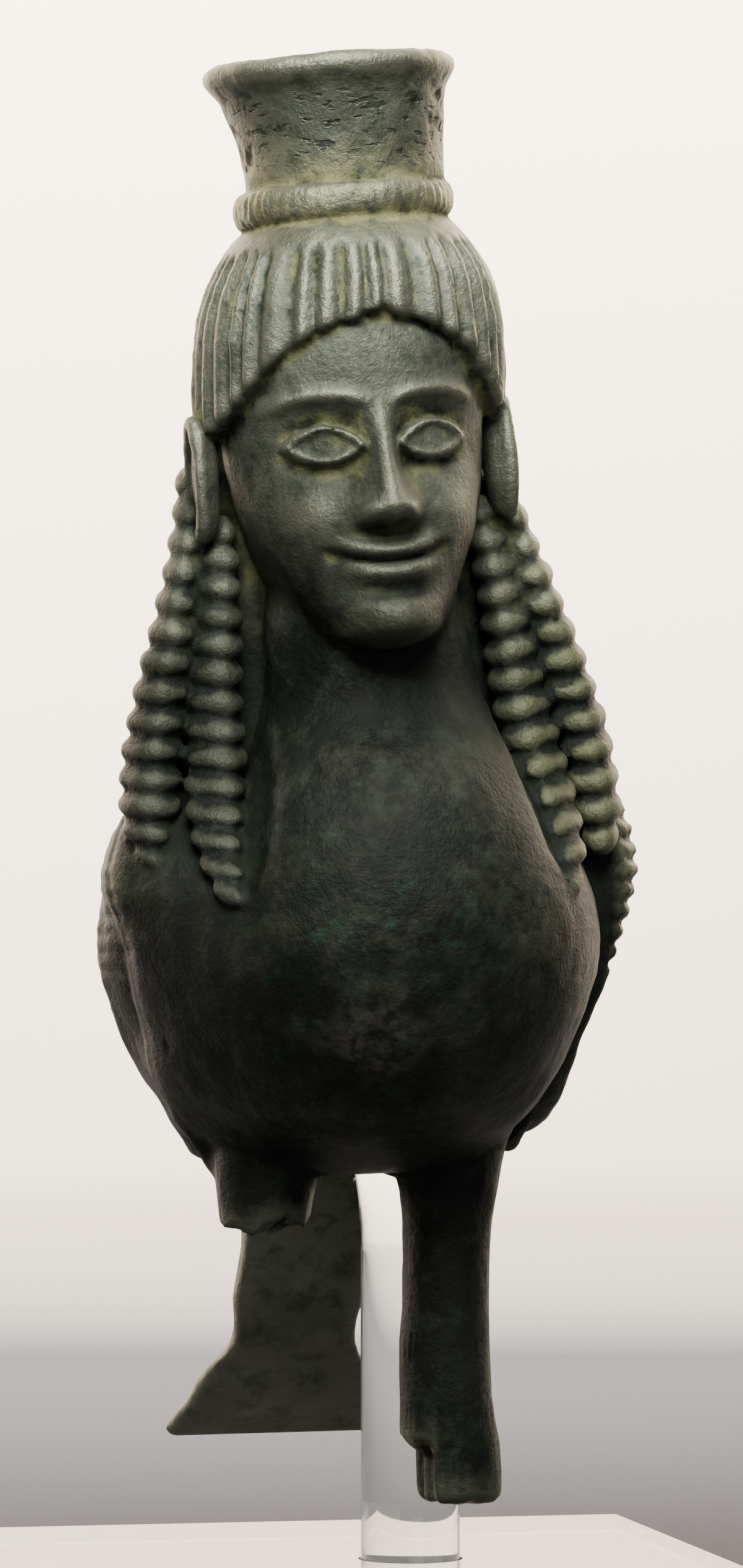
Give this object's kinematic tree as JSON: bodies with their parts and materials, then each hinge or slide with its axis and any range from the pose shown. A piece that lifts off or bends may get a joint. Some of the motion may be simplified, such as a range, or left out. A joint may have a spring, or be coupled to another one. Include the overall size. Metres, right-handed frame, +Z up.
{
  "type": "siren figure",
  "caption": "Small archaic bronze siren, a bird with a woman's head and tall headdress, held up by a clear rod on a clear foot.",
  "frame": {"origin": "centre of the foot's underside", "axes": "+Z up, the figure faces -Y, +X is at the figure's left hand (the viewer's right)"},
  "size_m": [0.08, 0.09, 0.1589],
  "materials": {
    "bronze": "old bronze with a dark green patina, worn paler on the ridges",
    "acrylic": "clear polished acrylic"
  },
  "bodies": {
    "root": {"siren": "bronze", "support_rod": "acrylic", "rod_foot": "acrylic"}
  },
  "joints": []
}
